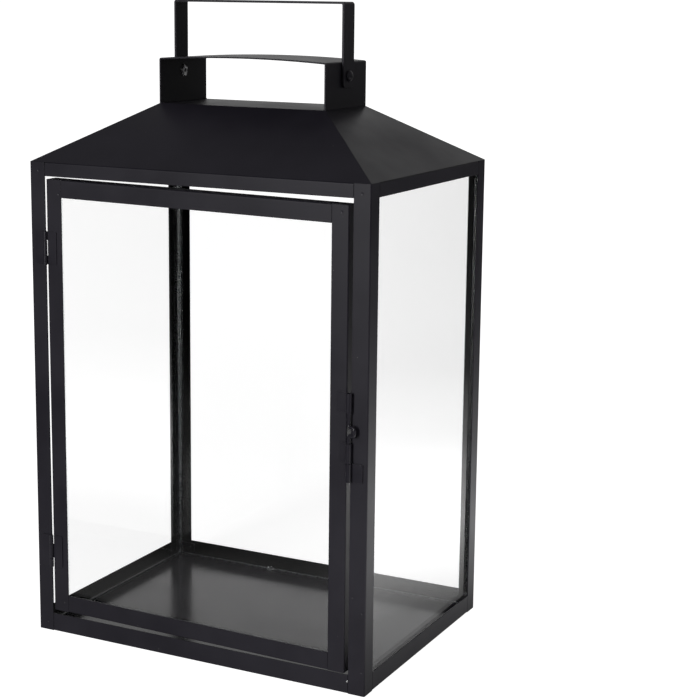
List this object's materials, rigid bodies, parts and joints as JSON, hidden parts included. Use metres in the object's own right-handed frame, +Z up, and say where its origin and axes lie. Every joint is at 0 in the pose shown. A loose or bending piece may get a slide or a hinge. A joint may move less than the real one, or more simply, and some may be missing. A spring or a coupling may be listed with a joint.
{
  "type": "hurricane candle lantern",
  "caption": "Free-standing rectangular metal and glass candle lantern with a hinged glazed front door, drop-pin latch, hip roof, handle bracket and folding strap handle.",
  "frame": {"origin": "centre of the body's footprint, on the surface the lantern stands on", "axes": "+Z up, -Y is the front with the door, +X is the latch side"},
  "size_m": [0.3, 0.2205, 0.515],
  "materials": {
    "frame_paint": "satin black powder coat",
    "hardware_paint": "satin black powder coat, slightly glossier",
    "clear_glass": "clear float glass",
    "clear_silicone": "clear cured silicone",
    "rivet_steel": "zinc-plated steel, painted on the outer head"
  },
  "bodies": {
    "frame": {"post_front_left": "frame_paint", "post_front_right": "frame_paint", "post_rear_left": "frame_paint", "post_rear_right": "frame_paint", "top_rail_front": "frame_paint", "top_rail_rear": "frame_paint", "top_rail_left": "frame_paint", "top_rail_right": "frame_paint", "bottom_rail_front": "frame_paint", "bottom_rail_rear": "frame_paint", "bottom_rail_left": "frame_paint", "bottom_rail_right": "frame_paint", "base_plate": "frame_paint", "roof_shell": "frame_paint", "handle_bracket": "frame_paint", "glass_left": "clear_glass", "glass_right": "clear_glass", "glass_rear": "clear_glass", "silicone_left": "clear_silicone", "silicone_right": "clear_silicone", "silicone_rear": "clear_silicone", "upper_hinge_post_leaf": "hardware_paint", "upper_hinge_pin": "hardware_paint", "lower_hinge_post_leaf": "hardware_paint", "lower_hinge_pin": "hardware_paint", "latch_keeper": "hardware_paint", "handle_rivet_left": "rivet_steel", "handle_rivet_right": "rivet_steel"},
    "door": {"door_stile_left": "frame_paint", "door_stile_right": "frame_paint", "door_rail_top": "frame_paint", "door_rail_bottom": "frame_paint", "door_glass": "clear_glass", "door_silicone": "clear_silicone", "upper_hinge_door_leaf": "hardware_paint", "lower_hinge_door_leaf": "hardware_paint", "upper_latch_leaf": "hardware_paint", "lower_latch_leaf": "hardware_paint"},
    "latch_pin": {"latch_pin": "hardware_paint"},
    "handle": {"handle": "frame_paint"}
  },
  "joints": [
    {"name": "door_swing", "type": "hinge", "parent": "frame", "child": "door", "pos_m": [-0.13535, -0.10915, 0.1925], "axis": [0, 0, -1], "range_deg": [0, 170]},
    {"name": "latch_slide", "type": "slide", "parent": "door", "child": "latch_pin", "axis": [0, 0, 1], "range_m": [-0.0045, 0.0085]},
    {"name": "handle_tilt", "type": "hinge", "parent": "frame", "child": "handle", "pos_m": [0, 0, 0.458], "axis": [1, 0, 0], "range_deg": [-108, 108]}
  ]
}
